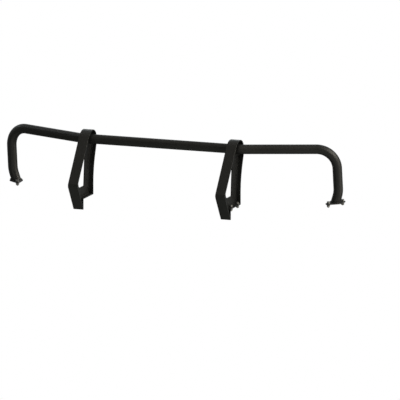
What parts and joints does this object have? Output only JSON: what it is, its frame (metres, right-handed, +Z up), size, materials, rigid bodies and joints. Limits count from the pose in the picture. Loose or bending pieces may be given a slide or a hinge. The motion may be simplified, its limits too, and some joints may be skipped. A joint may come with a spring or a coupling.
{
  "type": "front grille guard",
  "caption": "Bent tube hoop on two strapped plate uprights and two bolted end feet; stands over a front bumper to guard the grille and lamps.",
  "frame": {"origin": "centre of the four upright bolts, on the plane where the saddles and foot plates sit on the bumper", "axes": "+X left to right seen from the front, +Y rearwards to the vehicle, +Z up"},
  "size_m": [1.8768, 0.5018, 0.402],
  "materials": {
    "black_coat": "satin black powder coat",
    "zinc_plate": "dull zinc plate"
  },
  "bodies": {
    "root": {"hoop_tube": "black_coat", "left_upright_web": "black_coat", "right_upright_web": "black_coat", "left_upright_strap": "black_coat", "right_upright_strap": "black_coat", "left_upright_saddle": "black_coat", "right_upright_saddle": "black_coat", "left_tube_welds": "black_coat", "right_tube_welds": "black_coat", "left_foot_plate": "black_coat", "right_foot_plate": "black_coat", "left_foot_weld": "black_coat", "right_foot_weld": "black_coat", "left_upright_bolts": "zinc_plate", "left_upright_top_washers": "zinc_plate", "left_upright_lower_washers": "zinc_plate", "left_upright_lock_washers": "zinc_plate", "left_upright_nuts": "zinc_plate", "right_upright_bolts": "zinc_plate", "right_upright_top_washers": "zinc_plate", "right_upright_lower_washers": "zinc_plate", "right_upright_lock_washers": "zinc_plate", "right_upright_nuts": "zinc_plate", "left_foot_bolts": "zinc_plate", "left_foot_top_washers": "zinc_plate", "left_foot_lower_washers": "zinc_plate", "left_foot_lock_washers": "zinc_plate", "left_foot_nuts": "zinc_plate", "right_foot_bolts": "zinc_plate", "right_foot_top_washers": "zinc_plate", "right_foot_lower_washers": "zinc_plate", "right_foot_lock_washers": "zinc_plate", "right_foot_nuts": "zinc_plate"}
  },
  "joints": []
}
